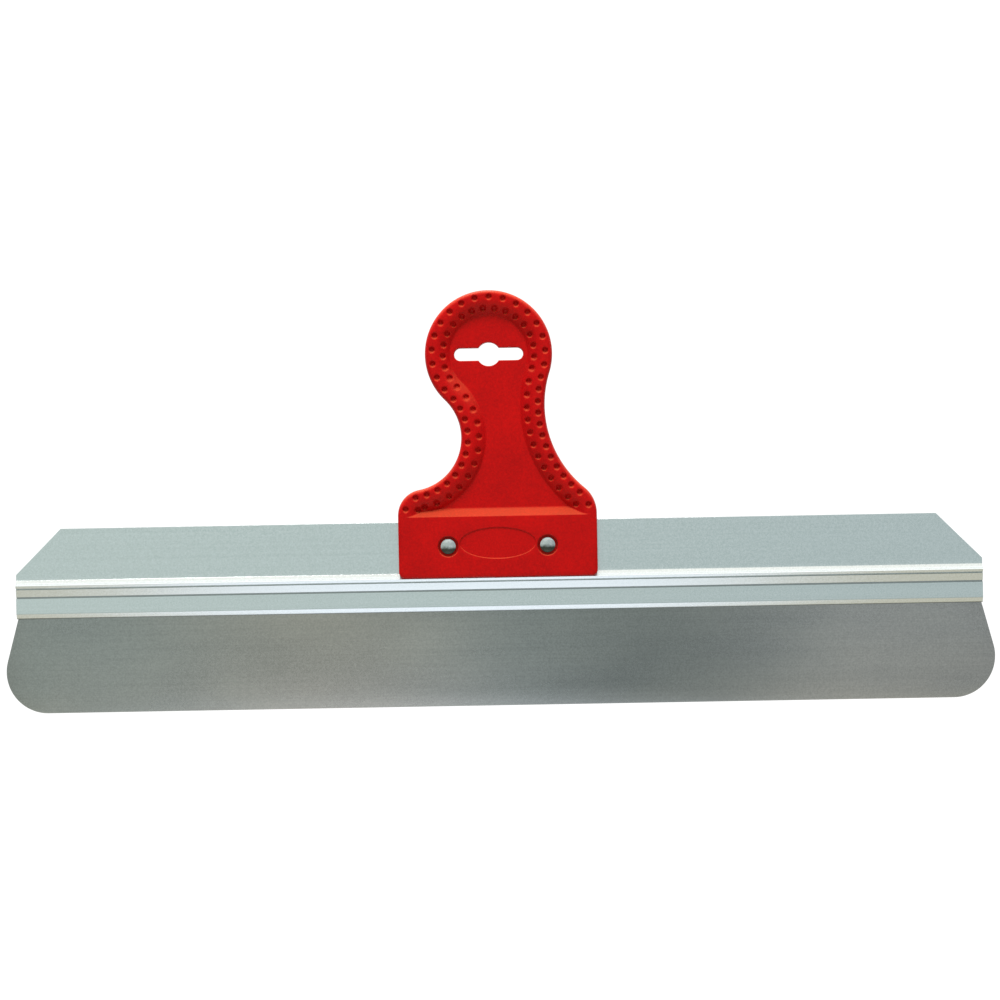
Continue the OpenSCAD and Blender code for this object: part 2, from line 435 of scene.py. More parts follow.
def rods(name, places, radius, y0, y1, sides=32):
    """Round bars along Y at each (x, z) place."""
    shell = Shell()
    for place in places:
        rows = [[(x, y, z) for x, z in circle(np.array(place), radius, sides)] for y in (y0, y1)]
        shell.strip(rows)
        for row in rows:
            shell.add(row, [tuple(range(sides))])
    return shell.build(name)


def turned(shell, centre, profile, sides):
    """A body turned about a line along Y, from (radius, y) points that start and end on it."""
    x, z = centre
    rows = []
    for radius, y in profile:
        if radius > 0:
            rows.append([(px, y, pz) for px, pz in circle(np.array([x, z]), radius, sides)])
    shell.strip(rows)
    for row, y in ((rows[0], profile[0][1]), (rows[-1], profile[-1][1])):
        hub = len(row)
        shell.add(row + [(x, y, z)], [(k, (k + 1) % hub, hub) for k in range(hub)])


# ---------------------------------------------------------------- handle


def slot_loop(offset):
    """The hanging slot's edge moved outwards: a long slot with a round eye."""
    half = SLOT_H / 2 + offset
    eye = SLOT_EYE_R + offset
    end_x = (SLOT_W - SLOT_H) / 2
    join = math.degrees(math.asin(half / eye))
    join_x = eye * math.cos(math.radians(join))
    points = []
    for side in (1, -1):
        turn = 0 if side > 0 else 180
        points += [side * half * heading(a) + (side * end_x, 0) for a in np.linspace(-90, 90, 17)]
        points += [np.array([side * x, side * half]) for x in np.linspace(end_x, join_x, 9)[1:-1]]
        points += [eye * heading(turn + a) for a in np.linspace(join, 180 - join, 17)]
        points += [np.array([-side * x, side * half]) for x in np.linspace(join_x, end_x, 9)[1:-1]]
    return KNOB + np.array(points)


def face_points(places):
    """Front-view points of the handle's face, and the loops that bound it and its holes."""
    bound = np.array([piece.at(share, FACE_END * edge_radius(piece.at(share, 0)[1]))
                      for piece, share in places])
    slot = slot_loop(SLOT_FILLET)
    bores = [circle(np.array([side * RIVET_X, RIVET_Z]), BORE_R + BORE_LIP, BORE_SIDES)
             for side in (-1, 1)]
    loops = [bound, slot, *bores]
    zone = BEVEL_ZONE

    # rows that follow the rim above the bevel, and one row round the base below it
    sets = []
    for inset in RIM_INSETS:
        row = np.array([piece.at(share, inset) for piece, share in places
                        if piece.at(share, 0)[1] > EDGE_GROWS[0] - 2])
        distance = to_outline(row)[0]
        keep = (distance > inset - 0.02) & (row[:, 1] > zone[1])
        sets.append(row[keep])
    lower = np.array([piece.at(share, BASE_INSET) for piece, share in places
                      if piece.at(share, 0)[1] < zone[0]])
    keep = (to_outline(lower)[0] > BASE_INSET - 0.02) & (lower[:, 1] < zone[0])
    sets.append(lower[keep])

    # a fine grid over the bevel, thinner in the middle where only Z matters
    levels = np.concatenate([np.arange(zone[0], zone[1], GRID_STEP),
                             BASE_TOP_Z + np.array([-0.12, 0.0, 0.12])])
    levels = np.unique(np.round(levels, 3))
    columns = np.arange(-BASE_HALF, BASE_HALF, GRID_STEP)
    grid = np.array([(x, z) for z in levels for x in columns
                     if abs(x) > 22 or round(x / GRID_STEP) % 3 == 0])
    distance, near_z = to_outline(grid)
    sets.append(grid[distance > FACE_END * edge_radius(near_z) + 0.25])

    # ovals across the badge's wall
    a, b = BADGE_HALF
    for inset in BADGE_INSETS:
        oval = circle(np.zeros(2), 1, 120) * (a - inset, b - inset)
        sets.append(oval + (0, RIVET_Z + BADGE_RISE))

    # a coarse grid over what is flat
    coarse = np.array([(x, z) for x in np.arange(-48, 49, COARSE_STEP)
                       for z in np.arange(67.5, 205, COARSE_STEP)])
    distance = to_outline(coarse)[0]
    flat = np.where(coarse[:, 1] < zone[0], distance > 3.2, distance > 14)
    out_of_zone = (coarse[:, 1] < zone[0] - 0.6) | (coarse[:, 1] > zone[1] + 0.6)
    reach = np.hypot(coarse[:, 0] / a, (coarse[:, 1] - RIVET_Z - BADGE_RISE) / b)
    off_badge = (reach < 0.9) | (reach > 1.1)
    sets.append(coarse[flat & out_of_zone & off_badge & inside(coarse, bound)])

    # rings round each dimple in place of the points that were there
    points = np.concatenate(sets)
    points = points[to_nearest(points, dimples) > DIMPLE_RINGS[-1] + 0.25]
    rings = []
    for n, centre in enumerate(dimples):
        others = np.delete(dimples, n, axis=0)
        for radius in DIMPLE_RINGS:
            ring = circle(centre, radius, DIMPLE_SIDES) if radius else centre[None, :]
            distance, near_z = to_outline(ring)
            keep = distance > FACE_END * edge_radius(near_z) + 0.1
            rings.append(ring[(to_nearest(ring, others) > radius) & keep])
    points = np.concatenate([points, *rings])

    for hole in (slot, *bores):
        points = points[~inside(points, hole)]
        points = points[to_nearest(points, hole) > HOLE_CLEAR]
    return points, loops


def triangles(points, loops):
    """Triangulates the face between its outer loop and its holes."""
    flat = [tuple(p) for loop in loops for p in loop]
    edges = []
    start = 0
    for loop in loops:
        edges += [(start + k, start + (k + 1) % len(loop)) for k in range(len(loop))]
        start += len(loop)
    flat += [tuple(p) for p in points]
    verts, _, faces, _, _, _ = delaunay_2d_cdt([Vector(p) for p in flat], edges, [], 0, 1e-6)
    verts = np.array([tuple(v) for v in verts])
    faces = np.array([tuple(f) for f in faces])
    middle = verts[faces].mean(axis=1)
    keep = inside(middle, loops[0])
    for hole in loops[1:]:
        keep &= ~inside(middle, hole)
    return verts, faces[keep]


def make_handle():
    places = stations()
    points, loops = face_points(places)
    flat, faces = triangles(points, loops)
    shell = Shell()
    for side in (-1, 1):
        heights = handle_height(flat, with_badge=side < 0)
        shell.add([(x, side * h, z) for (x, z), h in zip(flat, heights)], faces.tolist())

        # outer rounding and side wall, down to the parting line
        rows = []
        for step in range(ROUND_STEPS + 1):
            row = []
            for piece, share in places:
                radius = edge_radius(piece.at(share, 0)[1])
                turn = (1 - step / ROUND_STEPS) * math.acos(1 - FACE_END)
                inset = radius * (1 - math.cos(turn))
                x, z = piece.at(share, inset)
                row.append((x, side * (HANDLE_HALF - radius + radius * math.sin(turn)), z))
            rows.append(row)
        for y, inset in ((PARTING[0], 0.0), (0.0, PARTING[1])):
            rows.append([(*piece.at(share, inset), y) for piece, share in places])
            rows[-1] = [(x, side * y, z) for x, z, y in rows[-1]]
        shell.strip(rows)

        # hanging slot
        rows = []
        for step in range(ROUND_STEPS):
            turn = math.radians(90 * step / (ROUND_STEPS - 1))
            loop = slot_loop(SLOT_FILLET * (1 - math.sin(turn)))
            rows.append(lifted(loop, WEB_HALF - SLOT_FILLET * (1 - math.cos(turn)), side))
        rows.append(lifted(slot_loop(0), 0.0, side))
        shell.strip(rows)

        # rivet recesses, with a through hole for the shank
        for rivet_side in (-1, 1):
            centre = np.array([rivet_side * RIVET_X, RIVET_Z])
            profile = []
            for turn in np.radians(np.linspace(0, 90, 5)):
                profile.append((BORE_R + BORE_LIP * (1 - math.sin(turn)),
                                HANDLE_HALF - BORE_LIP * (1 - math.cos(turn))))
            profile += [(BORE_R, BORE_FLOOR + 0.3), (BORE_R - 0.08, BORE_FLOOR + 0.08),
                        (BORE_R - 0.3, BORE_FLOOR), (HOLE_R, BORE_FLOOR), (HOLE_R, 0.0)]
            shell.strip([lifted(circle(centre, radius, BORE_SIDES), h, side)
                         for radius, h in profile])

    # the slot that takes the flange, with a flared mouth
    piece = shell.build("grip_moulding")
    section = [(MOUTH_HALF, BASE_Z - 1), (MOUTH_HALF, BASE_Z), (FLANGE_SLOT_HALF, BASE_Z + MOUTH_H),
               (FLANGE_SLOT_HALF, FLANGE_SLOT_TOP)]
    section += [(-y, z) for y, z in reversed(section)]
    boolean(piece, prism("flange_slot", section, -BASE_HALF - 1, BASE_HALF + 1), "DIFFERENCE")
    smooth(piece, 38)
    return piece


handle = make_handle()

# ---------------------------------------------------------------- rail

RAIL_HALF = rail_high[0]
RAIL_Z = rail_low[2]
FLANGE_TOP = rail_high[2] - RAIL_Z
FLANGE_CUT = 23.0
FLANGE_CUT_Z = rail_high[2] - FLANGE_CUT
FLANGE_HALF = 1.25
FLANGE_HOLE_R = 2.15
FLANGE_HOLE_REACH = 2
END_CHAMFER = 0.1

# crimps: a plug through the blade and a pit in the back, given as (radius, y) from the outside
CRIMP_COUNT = 7
CRIMP_Z = RAIL_Z + 5.0
CRIMP_PITCH = 2 * RAIL_HALF / CRIMP_COUNT
CRIMP_R = 1.5
CRIMP_HOLE_R = 1.6
PLUG_HALF = 0.35
PIT = ((2.05, 3.4), (2.0, 2.4), (1.6, 1.6))
crimps = [((k - (CRIMP_COUNT - 1) / 2) * CRIMP_PITCH, CRIMP_Z) for k in range(CRIMP_COUNT)]


def rounded(corners):
    """A closed outline of (y, z, radius) corners with each corner rounded."""
    steps = 3
    points = []
    count = len(corners)
    for k in range(count):
        here = np.array(corners[k][:2])
        radius = corners[k][2]
        back = np.array(corners[k - 1][:2]) - here
        ahead = np.array(corners[(k + 1) % count][:2]) - here
        back_l, ahead_l = np.hypot(*back), np.hypot(*ahead)
        back, ahead = back / back_l, ahead / ahead_l
        half = math.acos(float(np.clip(back @ ahead, -1, 1))) / 2
        if radius == 0 or half > math.radians(89):
            points.append(here)
            continue
        reach = min(radius / math.tan(half), 0.45 * back_l, 0.45 * ahead_l)
        radius = reach * math.tan(half)
        centre = here + (back + ahead) / np.hypot(*(back + ahead)) * radius / math.sin(half)
        first = bearing(centre, here + back * reach)
        turn = (bearing(centre, here + ahead * reach) - first + 180) % 360 - 180
        points += [centre + radius * heading(first + turn * n / steps) for n in range(steps + 1)]
    return np.array(points)


def inset_loop(loop, distance):
    """A closed loop moved inwards; inwards is to the left of its direction."""
    back = loop - np.roll(loop, 1, axis=0)
    ahead = np.roll(loop, -1, axis=0) - loop
    normals = []
    for run in (back, ahead):
        left = np.stack([-run[:, 1], run[:, 0]], axis=1)
        normals.append(left / np.hypot(left[:, 0], left[:, 1])[:, None])
    middle = normals[0] + normals[1]
    middle /= np.hypot(middle[:, 0], middle[:, 1])[:, None]
    cosine = np.clip((middle * normals[0]).sum(axis=1), 0.5, 1)
    return loop + middle * (distance / cosine)[:, None]


def rail_section():
    """The extrusion's section in (y, z), counterclockwise.

    Each half is a list of (y, height above the jaw's end, radius of the corner).
    """
    blade_slot = [(0.3, 10.0, 0.0), (0.3, 0.0, 0.0)]
    jaw = [(1.1, 0.0, 0.15), (2.4, 2.4, 0.4), (2.4, 10.35, 0.0)]
    groove = [(1.3, 10.5, 0.0), (1.3, 10.95, 0.0)]
    band = [(2.1, 11.1, 0.0), (3.0, 14.74, 0.0), (2.25, 15.0, 0.0), (2.25, 15.3, 0.0)]
    bead = [(3.4, 15.5, 0.1), (3.83, 16.75, 0.1), (3.58, 17.32, 0.0), (2.78, 17.4, 0.0)]
    slope = [(2.72, 17.68, 0.0), (1.65, 19.4, 0.15), (FLANGE_HALF, 19.4, 0.15)]
    flange = [(FLANGE_HALF, FLANGE_TOP - FLANGE_CUT, 0.0), (FLANGE_HALF, FLANGE_TOP, 0.12)]
    half = blade_slot + jaw + groove + band + bead + slope + flange
    whole = half + [(-y, z, r) for y, z, r in reversed(half)]
    return rounded([(y, z + RAIL_Z, r) for y, z, r in whole])


def make_rail():
    section = rail_section()
    shell = Shell()

    def ring(loop, side, back):
        """The section at one end, set back along X, with its flange cut at 45 degrees."""
        return [(side * (RAIL_HALF - max(0.0, z - FLANGE_CUT_Z) - back), y, z) for y, z in loop]

    slim = inset_loop(section, END_CHAMFER * 0.8)
    rings = [ring(slim, -1, 0), ring(section, -1, END_CHAMFER),
             ring(section, 1, END_CHAMFER), ring(slim, 1, 0)]
    shell.strip(rings)
    upper = [k for k, (y, z) in enumerate(section) if z > FLANGE_CUT_Z - 0.01]
    lower = [k for k, (y, z) in enumerate(section) if z < FLANGE_CUT_Z + 0.01]
    for row in (rings[0], rings[-1]):
        shell.add(row, [tuple(upper), tuple(lower)])
    piece = shell.build("rail_extrusion")
    boolean(piece, rods("plugs", crimps, CRIMP_R, -PLUG_HALF, PLUG_HALF), "UNION")
    cutter = Shell()
    for place in crimps:
        profile = [(0, PIT[0][1]), *PIT, (0, PIT[-1][1])]
        turned(cutter, place, profile, 32)
    boolean(piece, cutter.build("pits"), "DIFFERENCE")
    places = [(side * RIVET_X, RIVET_Z) for side in (-1, 1)]
    holes = rods("rivet_holes", places, FLANGE_HOLE_R, -FLANGE_HOLE_REACH, FLANGE_HOLE_REACH)
    boolean(piece, holes, "DIFFERENCE")
    smooth(piece, 32)
    return piece


rail = make_rail()

# ---------------------------------------------------------------- blade

BLADE_HALF = blade_high[0]
BLADE_TOP = blade_high[2]
BLADE_CORNER_R = 21.0
BLADE_LEAN = 15.0
BLADE_T_HALF = blade_high[1]
BLADE_ROWS = ((0.2, 1.0), (0.06, 0.86), (0.0, 0.5), (0.0, -0.5), (0.06, -0.86), (0.2, -1.0))


def make_blade():
    """A sheet with eased edges; BLADE_ROWS gives pairs of an inset and a share of thickness."""
    corner = BLADE_HALF - BLADE_CORNER_R
    arc = [np.array([corner, BLADE_CORNER_R]) + BLADE_CORNER_R * heading(a)
           for a in np.linspace(-90, BLADE_LEAN, 43)]
    rise = BLADE_TOP - arc[-1][1]
    right = arc + [np.array([arc[-1][0] - rise * math.tan(math.radians(BLADE_LEAN)), BLADE_TOP])]
    loop = np.array(right + [p * (-1, 1) for p in reversed(right)])
    shell = Shell()
    rows = [lifted(inset_loop(loop, inset), share * BLADE_T_HALF, -1)
            for inset, share in BLADE_ROWS]
    shell.strip(rows)
    for row in (rows[0], rows[-1]):
        shell.add(row, [tuple(range(len(row)))])
    piece = shell.build("blade_sheet")
    boolean(piece, rods("crimp_holes", crimps, CRIMP_HOLE_R, -1, 1), "DIFFERENCE")
    smooth(piece, 32)
    return piece


blade = make_blade()

# ---------------------------------------------------------------- rivets and washers

HEAD_R = 3.8
HEAD_DOME_H = 0.5
HEAD_SPHERE_R = (HEAD_R**2 + HEAD_DOME_H**2) / (2 * HEAD_DOME_H)
SHANK_R = 2.0
TAIL_R = 3.4
WASHER_HOLE_R = 2.1
WASHER_EASE = 0.12
RIVET_SIDES = 48


def make_rivet(name, side):
    """A domed head in front, a shank, and a rolled tail with a hollow at the back."""
    top = rivet_low[1]
    seat = -BORE_FLOOR
    reach = math.degrees(math.asin(HEAD_R / HEAD_SPHERE_R))
    profile = [(0, top)]
    for angle in np.linspace(0, reach, 13)[1:]:
        profile.append((HEAD_SPHERE_R * math.sin(math.radians(angle)),
                        top + HEAD_SPHERE_R * (1 - math.cos(math.radians(angle)))))
    profile[-1] = (HEAD_R - 0.06, top + HEAD_DOME_H - 0.06)
    profile += [(HEAD_R, top + HEAD_DOME_H + 0.08), (HEAD_R, seat - 0.1), (HEAD_R - 0.1, seat),
                (SHANK_R, seat), (SHANK_R, washer_high[1])]
    low, high = washer_high[1], rivet_high[1]
    profile += [(TAIL_R - 0.1, low), (TAIL_R, low + 0.1), (TAIL_R - 0.02, low + 0.5),
                (TAIL_R - 0.15, low + 0.8), (TAIL_R - 0.4, high - 0.15), (TAIL_R - 0.75, high),
                (1.9, high - 0.02), (1.45, high - 0.15), (1.1, high - 0.4), (0.7, high - 0.55),
                (0, high - 0.6)]
    shell = Shell()
    turned(shell, (side * RIVET_X, RIVET_Z), profile, RIVET_SIDES)
    piece = shell.build(name)
    smooth(piece, 35)
    return piece


def make_washer(name, side):
    """A flat ring with eased edges."""
    inner, outer = WASHER_HOLE_R, (washer_high[0] - washer_low[0]) / 2
    low, high = washer_low[1], washer_high[1]
    ease = WASHER_EASE
    profile = [(inner, low + ease), (inner + ease, low), (outer - ease, low), (outer, low + ease),
               (outer, high - ease), (outer - ease, high), (inner + ease, high),
               (inner, high - ease), (inner, low + ease)]
    shell = Shell()
    centre = np.array([side * RIVET_X, RIVET_Z])
    shell.strip([lifted(circle(centre, radius, RIVET_SIDES), y, 1) for radius, y in profile])
    piece = shell.build(name)
    smooth(piece, 35)
    return piece


sides = (("left", -1), ("right", 1))
rivets = {end: make_rivet("dome_rivet_" + end, side) for end, side in sides}
washers = {end: make_washer("back_washer_" + end, side) for end, side in sides}

# ---------------------------------------------------------------- materials

# sockets of a colour Mix node, whose names are shared by its other data types
MIX_SHARE, MIX_FIRST, MIX_SECOND, MIX_RESULT = 0, 6, 7, 2

class Paint:
    """A material with small helpers that add and join its nodes."""

    def __init__(self, name, colour, metallic, roughness):
        self.material = bpy.data.materials.new(name)
        self.material.use_nodes = True
        self.tree = self.material.node_tree
        self.shader = self.tree.nodes["Principled BSDF"]
        self.set("Base Color", (*colour, 1))
        self.set("Metallic", metallic)
        self.set("Roughness", roughness)
        coordinates = self.node("ShaderNodeTexCoord")
        self.place = coordinates.outputs["Object"]
        self.facing = coordinates.outputs["Normal"]

    def node(self, kind, **values):
        made = self.tree.nodes.new(kind)
        for key, value in values.items():
            setattr(made, key, value)
        return made

    def join(self, output, target):
        self.tree.links.new(output, target)

    def set(self, socket, value):
        self.shader.inputs[socket].default_value = value

    def stretched(self, scale):
        mapping = self.node("ShaderNodeMapping")
        mapping.inputs["Scale"].default_value = scale
        self.join(self.place, mapping.inputs["Vector"])
        return mapping.outputs["Vector"]

    def noise(self, scale, detail=2.0, roughness=0.5):
        """Noise whose scale along X, Y and Z is per metre."""
        made = self.node("ShaderNodeTexNoise")
        made.inputs["Scale"].default_value = 1.0
        made.inputs["Detail"].default_value = detail
        made.inputs["Roughness"].default_value = roughness
        self.join(self.stretched(scale), made.inputs["Vector"])
        return made.outputs["Fac"]

    def ranged(self, value, low, high, to_low, to_high, smoothly=False):
        made = self.node("ShaderNodeMapRange")
        if smoothly:
            made.interpolation_type = "SMOOTHSTEP"
        for socket, number in zip(("From Min", "From Max", "To Min", "To Max"),
                                  (low, high, to_low, to_high)):
            made.inputs[socket].default_value = number
        self.join(value, made.inputs["Value"])
        return made.outputs["Result"]

    def maths(self, operation, a, b):
        made = self.node("ShaderNodeMath", operation=operation)
        for socket, value in zip(made.inputs, (a, b)):
            if isinstance(value, (int, float)):
                socket.default_value = value
            else:
                self.join(value, socket)
        return made.outputs["Value"]

    def mix(self, share, first, second, blend="MIX"):
        made = self.node("ShaderNodeMix", data_type="RGBA", blend_type=blend)
        for index, value in ((MIX_SHARE, share), (MIX_FIRST, first), (MIX_SECOND, second)):
            socket = made.inputs[index]
            if isinstance(value, (int, float)):
                socket.default_value = value
            elif isinstance(value, tuple):
                socket.default_value = (*value, 1)
            else:
                self.join(value, socket)
        return made.outputs[MIX_RESULT]

    def bump(self, height, depth, under=None):
        """Bump of a depth in metres, on top of another bump if one is given."""
        made = self.node("ShaderNodeBump")
        made.inputs["Strength"].default_value = 1.0
        made.inputs["Distance"].default_value = depth
        self.join(height, made.inputs["Height"])
        if under is not None:
            self.join(under, made.inputs["Normal"])
        return made.outputs["Normal"]

    def split(self, vector):
        made = self.node("ShaderNodeSeparateXYZ")
        self.join(vector, made.inputs["Vector"])
        return made.outputs


def red_moulding():
    """Moulded plastic with a fine grain, mottled, with a painted orange highlight on what faces up.
    """
    paint = Paint("red_moulding", (0.42, 0.001, 0.003), 0.0, 0.4)
    paint.set("IOR", 1.4)
    paint.set("Specular Tint", (1.0, 0.38, 0.24, 1.0))
    paint.set("Sheen Weight", 0.2)
    paint.set("Sheen Roughness", 0.35)
    paint.set("Sheen Tint", (1.0, 0.4, 0.2, 1.0))
    cloudy = paint.noise((60, 60, 60), detail=3)
    speckle = paint.noise((1000, 1000, 1000), detail=2, roughness=0.7)
    share = paint.maths("ADD", paint.ranged(cloudy, 0.3, 0.7, 0.0, 0.35),
                        paint.ranged(speckle, 0.3, 0.7, 0.0, 0.65))
    colour = paint.mix(share, (0.31, 0.0008, 0.003), (0.5, 0.0014, 0.003))
    facing = paint.split(paint.facing)
    # painted highlight: surfaces that face up are tinted orange, as if brightly lit from above
    painted_top_highlight = paint.ranged(facing["Z"], 0.1, 0.85, 0.0, 0.075, True)
    colour = paint.mix(painted_top_highlight, colour, (0.85, 0.52, 0.19))
    paint.join(colour, paint.shader.inputs["Base Color"])
    rough = paint.ranged(cloudy, 0.3, 0.7, 0.38, 0.48)
    paint.join(rough, paint.shader.inputs["Roughness"])
    fine = paint.noise((2600, 2600, 2600), detail=2)
    coarse = paint.noise((900, 900, 900), detail=1)
    normal = paint.bump(coarse, 0.00003)
    normal = paint.bump(fine, 0.00002, under=normal)
    paint.join(normal, paint.shader.inputs["Normal"])
    return paint.material


# painted shade in the extrusion's groove and creases, under the bead and where the blade leaves the
# jaw: height above the jaw's end, half width, strength
CREASE_SHADE_LINES = ((10.72, 0.55, 0.5), (15.15, 0.45, 0.25), (2.55, 0.3, 0.15), (0.1, 0.3, 0.75))


def satin_aluminium():
    """Satin extrusion: a fine even grain, faint lines along its length, and painted shade in its
    creases.
    """
    paint = Paint("satin_aluminium", (0.8, 0.83, 0.82), 1.0, 0.22)
    height = paint.split(paint.place)["Z"]
    grain = paint.noise((1300, 1300, 1300), detail=2, roughness=0.6)
    lines = paint.noise((2, 700, 700), detail=2)
    share = paint.maths("ADD", paint.ranged(grain, 0.25, 0.75, 0.0, 0.8),
                        paint.ranged(lines, 0.3, 0.7, 0.0, 0.2))
    colour = paint.mix(share, (0.72, 0.76, 0.745), (0.87, 0.9, 0.895))
    # painted shade: dark bands along the groove, under the bead, at the bevel's top and at the
    # jaw's end
    for middle, half, strength in CREASE_SHADE_LINES:
        away = paint.maths("SUBTRACT", height, (RAIL_Z + middle) * MM)
        away = paint.maths("ABSOLUTE", away, 0.0)
        shade = paint.ranged(away, half * MM * 0.6, half * MM, strength, 0.0, True)
        colour = paint.mix(shade, colour, (0.05, 0.05, 0.045))
    paint.join(colour, paint.shader.inputs["Base Color"])
    rough = paint.ranged(grain, 0.3, 0.7, 0.2, 0.26)
    paint.join(rough, paint.shader.inputs["Roughness"])
    normal = paint.bump(grain, 0.0000015)
    paint.join(normal, paint.shader.inputs["Normal"])
    return paint.material


def rolled_steel():
    """Cold-rolled stainless sheet, with soft clouds, faint scratches and a worn edge."""
    paint = Paint("rolled_steel", (0.36, 0.385, 0.37), 1.0, 0.28)
    clouds = paint.noise((10, 10, 26), detail=2, roughness=0.5)
    grain = paint.noise((1300, 1300, 1300), detail=2, roughness=0.6)
    lines = paint.noise((14, 1200, 1200), detail=3)
    axes = paint.split(paint.place)

    def patch(middle_x, half_x, strength):
        """A soft upright patch on the sheet, as wide as 2 * half_x."""
        away = paint.maths("ABSOLUTE", paint.maths("SUBTRACT", axes["X"], middle_x), 0.0)
        return paint.ranged(away, 0.0, half_x, strength, 0.0, True)

    colour = paint.mix(paint.ranged(axes["X"], 0.0, 0.2, 0.0, 1.0, True), (0.385, 0.39, 0.37),
                       (0.49, 0.46, 0.44))
    colour = paint.mix(patch(-0.09, 0.12, 0.9), colour, (0.46, 0.42, 0.37))
    colour = paint.mix(patch(0.075, 0.12, 0.6), colour, (0.2, 0.21, 0.2))
    shade = paint.mix(paint.ranged(clouds, 0.3, 0.7, 0.0, 1.0, True), (0.93, 0.93, 0.94),
                      (1.06, 1.06, 1.05))
    colour = paint.mix(1.0, colour, shade, "MULTIPLY")
    fine = paint.maths("ADD", paint.ranged(grain, 0.25, 0.75, 0.0, 0.8),
                       paint.ranged(lines, 0.3, 0.7, 0.0, 0.2))
    colour = paint.mix(1.0, colour, paint.mix(fine, (0.8, 0.8, 0.8), (1.18, 1.18, 1.18)),
                       "MULTIPLY")
    ragged = paint.maths("ADD", axes["Z"], paint.ranged(clouds, 0.3, 0.7, -0.004, 0.004))
    worn = paint.ranged(ragged, 0.0, 0.01, 0.1, 0.0, True)
    colour = paint.mix(worn, colour, (0.6, 0.62, 0.6))
    paint.join(colour, paint.shader.inputs["Base Color"])
    rough = paint.ranged(clouds, 0.3, 0.7, 0.24, 0.32)
    paint.join(rough, paint.shader.inputs["Roughness"])
    normal = paint.bump(lines, 0.000001)
    paint.join(normal, paint.shader.inputs["Normal"])
    return paint.material


def polished_rivet():
    """Bright steel with light handling marks, and a painted dark reflection on the lower part of
    the front head.
    """
    paint = Paint("polished_rivet", (0.5, 0.5, 0.48), 1.0, 0.2)
    marks = paint.noise((500, 500, 500), detail=4, roughness=0.6)
    rough = paint.ranged(marks, 0.3, 0.7, 0.14, 0.3)
    paint.join(rough, paint.shader.inputs["Roughness"])
    colour = paint.mix(paint.ranged(marks, 0.35, 0.65, 0.0, 1.0), (0.66, 0.67, 0.65),
                       (0.8, 0.81, 0.79))
    axes = paint.split(paint.place)
    # painted reflection: the lower part of the front head is darkened, as if it mirrored something
    # dark below
    ragged = paint.maths("ADD", axes["Z"], paint.ranged(marks, 0.3, 0.7, -0.0004, 0.0004))
    painted_dark_reflection = paint.ranged(ragged, (RIVET_Z - 1.5) * MM, (RIVET_Z + 0.6) * MM, 0.95, 0.0, True)
    front = paint.ranged(axes["Y"], -BORE_FLOOR * MM, 0.0, 1.0, 0.0)
    painted_dark_reflection = paint.maths("MULTIPLY", painted_dark_reflection, front)
    colour = paint.mix(painted_dark_reflection, colour, (0.035, 0.035, 0.02))
    paint.join(colour, paint.shader.inputs["Base Color"])
    normal = paint.bump(marks, 0.00003)
    paint.join(normal, paint.shader.inputs["Normal"])
    return paint.material


def plated_washer():
    """Dull zinc plate with a faint spangle."""
    paint = Paint("plated_washer", (0.6, 0.62, 0.64), 1.0, 0.4)
    spangle = paint.noise((700, 700, 700), detail=3)
    colour = paint.mix(paint.ranged(spangle, 0.35, 0.65, 0.0, 1.0), (0.5, 0.52, 0.55),
                       (0.7, 0.71, 0.7))
    paint.join(colour, paint.shader.inputs["Base Color"])
    rough = paint.ranged(spangle, 0.3, 0.7, 0.32, 0.5)
    paint.join(rough, paint.shader.inputs["Roughness"])
    normal = paint.bump(spangle, 0.00003)
    paint.join(normal, paint.shader.inputs["Normal"])
    return paint.material


def finish_piece(piece, material, node):
    """Paints a piece, puts it on its body, and hides the CAD node it stands for."""
    piece.data.materials.clear()
    piece.data.materials.append(material)
    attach(piece, BODY)
    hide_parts(node)


finish_piece(handle, red_moulding(), "handle")
finish_piece(rail, satin_aluminium(), "rail")
finish_piece(blade, rolled_steel(), "blade")
rivet_metal = polished_rivet()
washer_metal = plated_washer()
for end, side in sides:
    finish_piece(rivets[end], rivet_metal, "rivet_" + end)
    finish_piece(washers[end], washer_metal, "rivet_washer_" + end)

# ---------------------------------------------------------------- floor, light and camera

FLOOR_Z = -0.3
FLOOR_MIDDLE = (-0.035, -0.5)
FLOOR_HALF = (0.325, 0.7)
FLOOR_FADE = 0.5
FLOOR_SIDES = 96

# colours of the surroundings, by direction; BOX is the bright band below TOP
WHITE = (1.1, 1.1, 1.1)
BACK = (0.8, 0.82, 0.82)
TOP = (1.12, 1.12, 1.08)
BOX = (1.35, 1.37, 1.37)
LOW = (0.6, 0.58, 0.48)
FRONT_DIM = (0.22, 0.23, 0.23)
FRONT_LEFT = (0.583, 0.675, 0.655)
FRONT_RIGHT = (0.47, 0.55, 0.565)


def make_floor():
    """An oval pale floor that fades out towards its edge."""
    shell = Shell()
    rim = (circle(np.zeros(2), 1, FLOOR_SIDES) * FLOOR_HALF + FLOOR_MIDDLE) / MM
    shell.add([(x, y, FLOOR_Z / MM) for x, y in rim], [tuple(range(FLOOR_SIDES))])
    floor = shell.build("floor")
    paint = Paint("pale_floor", (0.5, 0.53, 0.58), 0.0, 0.8)
    paint.set("Specular IOR Level", 0.1)
    axes = paint.split(paint.place)
    away = [paint.maths("DIVIDE", paint.maths("SUBTRACT", axes[axis], middle), half)
            for axis, middle, half in zip("XY", FLOOR_MIDDLE, FLOOR_HALF)]
    reach = paint.maths("SQRT", paint.maths("ADD", paint.maths("POWER", away[0], 2.0),
                                            paint.maths("POWER", away[1], 2.0)), 0.0)
    paint.join(paint.ranged(reach, FLOOR_FADE, 1.0, 1.0, 0.0, True), paint.shader.inputs["Alpha"])
    floor.data.materials.append(paint.material)


